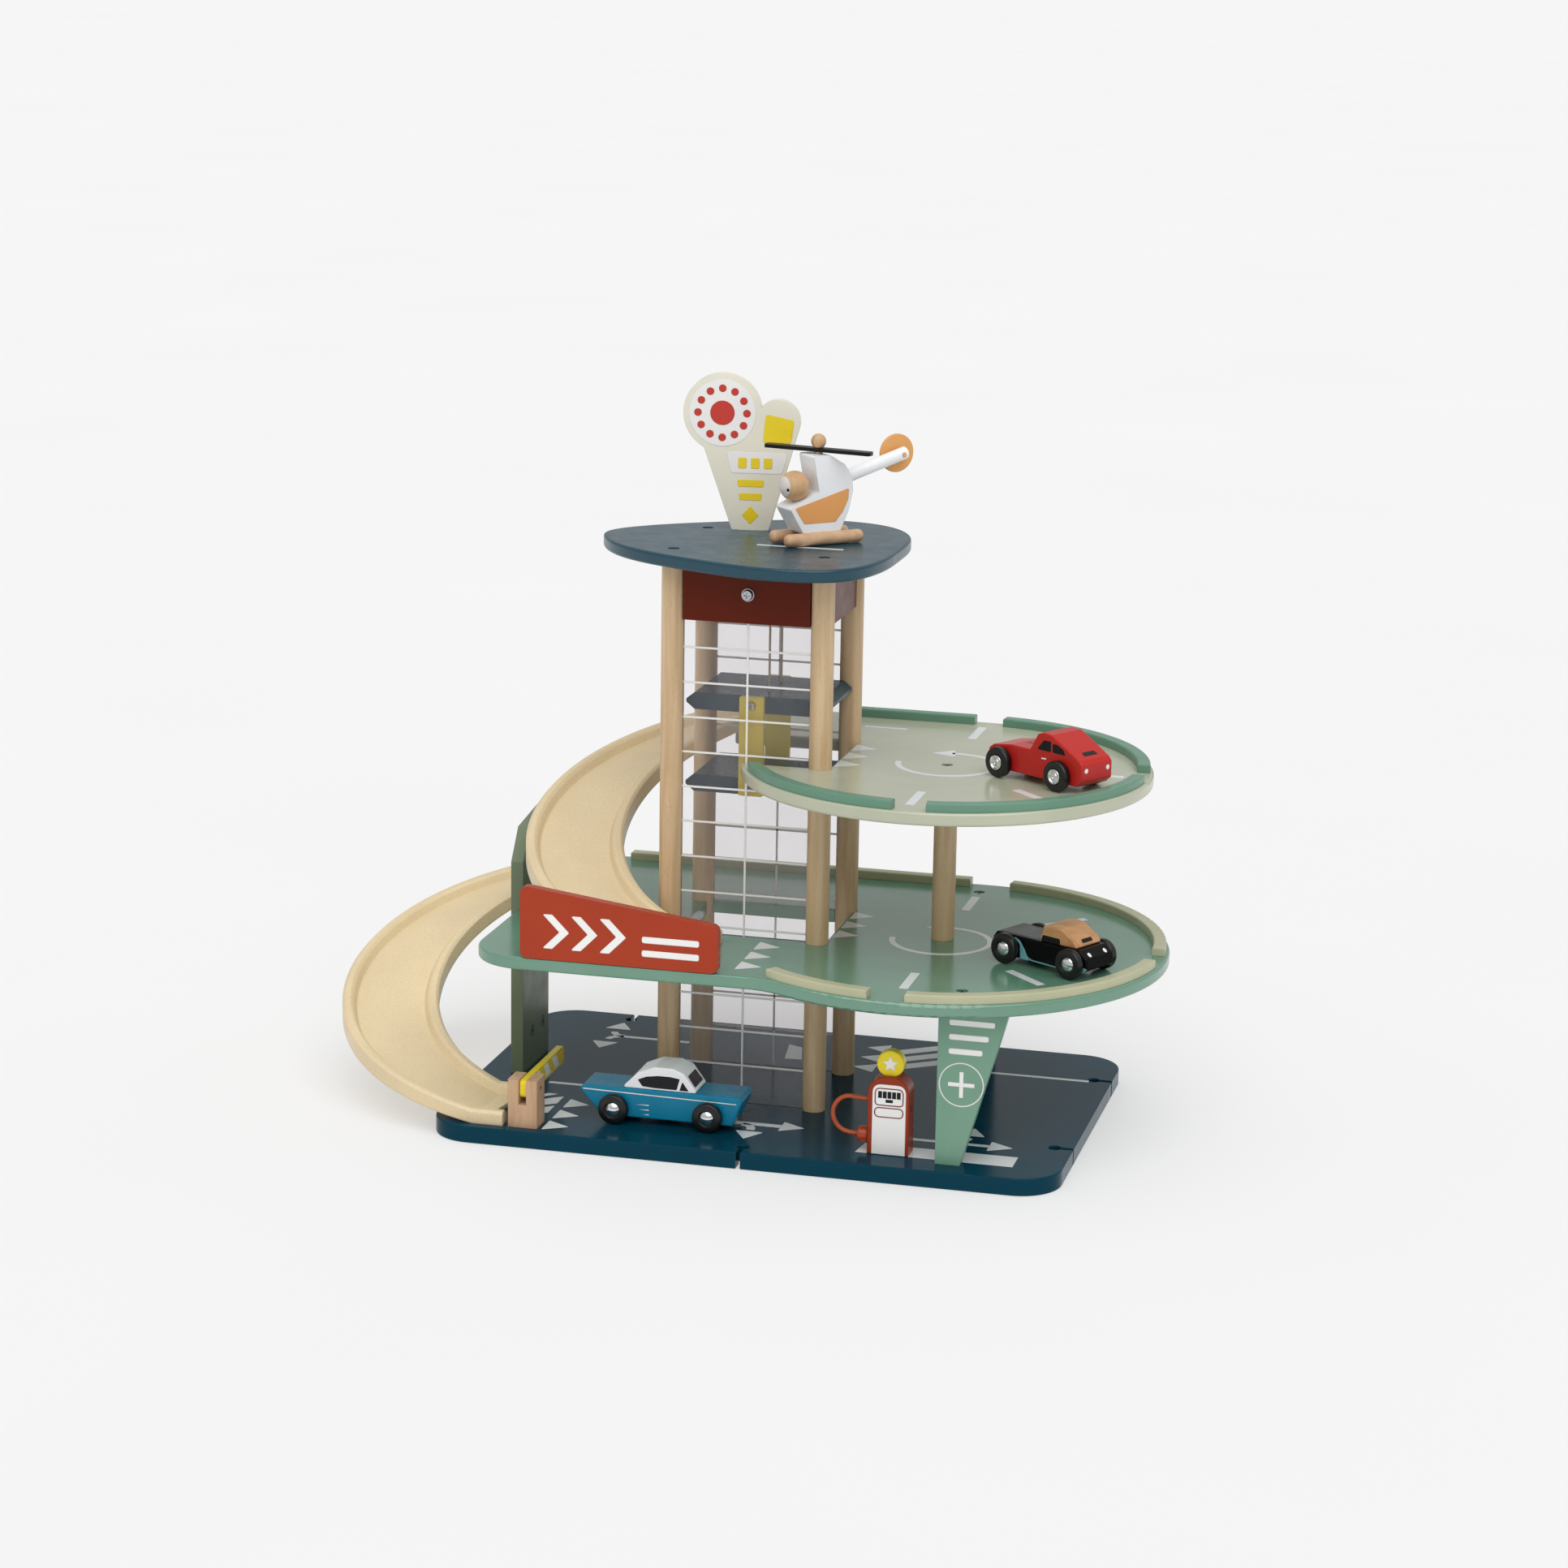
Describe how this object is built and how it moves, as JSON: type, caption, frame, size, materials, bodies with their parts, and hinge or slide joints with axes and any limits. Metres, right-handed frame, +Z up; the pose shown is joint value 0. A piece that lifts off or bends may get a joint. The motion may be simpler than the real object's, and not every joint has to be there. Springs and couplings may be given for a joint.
{
  "type": "toy parking garage with lift",
  "caption": "Wooden toy parking garage: round decks on posts, curved ramps, a cord-wound lift, gate, fuel pump, helipad with helicopter and toy cars.",
  "frame": {"origin": "centre of the base board's underside", "axes": "+X to the right seen from the front, +Y to the back, +Z up"},
  "size_m": [0.592, 0.317, 0.5125],
  "materials": {
    "base_board": "satin paint",
    "level_one_board": "satin paint",
    "level_two_board": "satin paint",
    "helipad_board": "satin paint",
    "posts": "satin paint",
    "rear_cylinder": "satin paint",
    "pylon": "satin paint",
    "support_board": "satin paint",
    "ramps": "satin paint",
    "winch_panels": "satin paint",
    "windows": "clear",
    "level_one_rails": "satin paint",
    "level_two_rails": "satin paint",
    "entry_sign": "satin paint",
    "roof_sign": "satin paint",
    "lift_boards": "satin paint",
    "lift_plates": "satin paint",
    "screws": "brushed",
    "winch_wood": "satin paint",
    "cord": "matte",
    "gate_block": "satin paint",
    "gate_arm": "satin paint",
    "pump": "satin paint",
    "globe": "satin paint",
    "hose": "matte",
    "nozzle": "satin paint",
    "heli_body": "satin paint",
    "heli_wood": "satin paint",
    "heli_disc": "satin paint",
    "rotor_blade": "satin paint",
    "blue_paint": "satin paint",
    "white_paint": "satin paint",
    "red_paint": "satin paint",
    "truck_paint": "satin paint",
    "truck_cab": "satin paint",
    "wheels": "matte"
  },
  "bodies": {
    "garage": {"base_board": "base_board", "centre_post": "posts", "deck_screws": "screws", "entry_sign_board": "entry_sign", "front_pylon": "pylon", "gate_block": "gate_block", "gate_pin": "screws", "helipad_board": "helipad_board", "level_one_board": "level_one_board", "level_one_rails": "level_one_rails", "level_two_board": "level_two_board", "level_two_rails": "level_two_rails", "lift_post_front_left": "posts", "lift_post_front_right": "posts", "lift_post_rear_left": "posts", "lift_post_rear_right": "posts", "lower_ramp": "ramps", "lower_windows": "windows", "pump_body": "pump", "pump_globe": "globe", "pump_hose": "hose", "pump_nozzle": "nozzle", "ramp_support_board": "support_board", "rear_cylinder": "rear_cylinder", "roof_sign_board": "roof_sign", "underside_screws": "screws", "upper_ramp": "ramps", "winch_panel_front": "winch_panels", "winch_panel_rear": "winch_panels", "winch_side_panels": "winch_panels", "window_front_upper": "windows", "window_rear_upper": "windows"},
    "lift": {"lift_floor": "lift_boards", "lift_roof": "lift_boards", "lift_side_plates": "lift_plates", "lift_screws": "screws", "lift_cords": "cord"},
    "winch": {"winch_axle": "screws", "winch_drum": "winch_wood", "crank_wheel": "winch_wood", "crank_knob": "winch_wood"},
    "gate": {"gate_arm": "gate_arm"},
    "helicopter": {"helicopter_body": "heli_body", "helicopter_skids": "heli_wood", "helicopter_pilot": "heli_wood", "helicopter_tail_boom": "heli_body"},
    "rotor": {"helicopter_rotor_blade": "rotor_blade", "helicopter_rotor_pin": "heli_wood"},
    "tail_disc": {"helicopter_tail_disc": "heli_disc"},
    "blue_car": {"blue_car_body": "blue_paint", "blue_car_roof": "white_paint"},
    "red_car": {"red_car_body": "red_paint"},
    "truck": {"truck_body": "truck_paint", "truck_cab": "truck_cab"},
    "blue_car_front_wheelset": {"blue_car_front_wheels": "wheels"},
    "blue_car_rear_wheelset": {"blue_car_rear_wheels": "wheels"},
    "red_car_front_wheelset": {"red_car_front_wheels": "wheels"},
    "red_car_rear_wheelset": {"red_car_rear_wheels": "wheels"},
    "truck_front_wheelset": {"truck_front_wheels": "wheels"},
    "truck_rear_wheelset": {"truck_rear_wheels": "wheels"}
  },
  "joints": [
    {"name": "lift_slide", "type": "slide", "parent": "garage", "child": "lift", "axis": [0, 0, 1], "range_m": [-0.2195, 0.013], "deforming": ["lift_cords"]},
    {"name": "winch_turn", "type": "hinge", "parent": "garage", "child": "winch", "pos_m": [-0.0215, 0, 0.375], "axis": [0, -1, 0], "range_deg": [-1640, 110]},
    {"name": "gate_swing", "type": "hinge", "parent": "garage", "child": "gate", "pos_m": [-0.1518, -0.1273, 0.039], "axis": [1, 0, 0], "range_deg": [0, 85]},
    {"name": "helicopter_lift", "type": "slide", "parent": "garage", "child": "helicopter", "axis": [0, 0, 1], "range_m": [0, 0.1]},
    {"name": "rotor_spin", "type": "hinge", "parent": "helicopter", "child": "rotor", "pos_m": [0.01136, 0.01665, 0.46], "axis": [0, 0, 1], "continuous": true},
    {"name": "tail_disc_spin", "type": "hinge", "parent": "helicopter", "child": "tail_disc", "pos_m": [0.05914, 0.06361, 0.46038], "axis": [-0.7009, 0.7133, 0], "continuous": true},
    {"name": "blue_car_roll", "type": "slide", "parent": "garage", "child": "blue_car", "axis": [1, 0, 0], "range_m": [-0.015, 0.05]},
    {"name": "blue_car_front_spin", "type": "hinge", "parent": "blue_car", "child": "blue_car_front_wheelset", "pos_m": [-0.0278, -0.0912, 0.0227], "axis": [0, 1, 0], "continuous": true},
    {"name": "blue_car_rear_spin", "type": "hinge", "parent": "blue_car", "child": "blue_car_rear_wheelset", "pos_m": [-0.0948, -0.0912, 0.0227], "axis": [0, 1, 0], "continuous": true},
    {"name": "red_car_roll", "type": "slide", "parent": "garage", "child": "red_car", "axis": [-0.8396, 0.5432, 0], "range_m": [-0.003, 0.06]},
    {"name": "red_car_front_spin", "type": "hinge", "parent": "red_car", "child": "red_car_front_wheelset", "pos_m": [0.16173, -0.01183, 0.2677], "axis": [-0.5432, -0.8396, 0], "continuous": true},
    {"name": "red_car_rear_spin", "type": "hinge", "parent": "red_car", "child": "red_car_rear_wheelset", "pos_m": [0.20707, -0.04117, 0.2677], "axis": [-0.5432, -0.8396, 0], "continuous": true},
    {"name": "truck_roll", "type": "slide", "parent": "garage", "child": "truck", "axis": [0.8829, -0.4695, 0], "range_m": [-0.03, 0.006]},
    {"name": "truck_front_spin", "type": "hinge", "parent": "truck", "child": "truck_front_wheelset", "pos_m": [0.2219, -0.06023, 0.1437], "axis": [0.4695, 0.8829, 0], "continuous": true},
    {"name": "truck_rear_spin", "type": "hinge", "parent": "truck", "child": "truck_rear_wheelset", "pos_m": [0.1729, -0.03417, 0.1437], "axis": [0.4695, 0.8829, 0], "continuous": true}
  ],
  "couplings": [
    {"joint": "winch_turn", "follows": "lift_slide", "rad_per_m": 128.21}
  ]
}
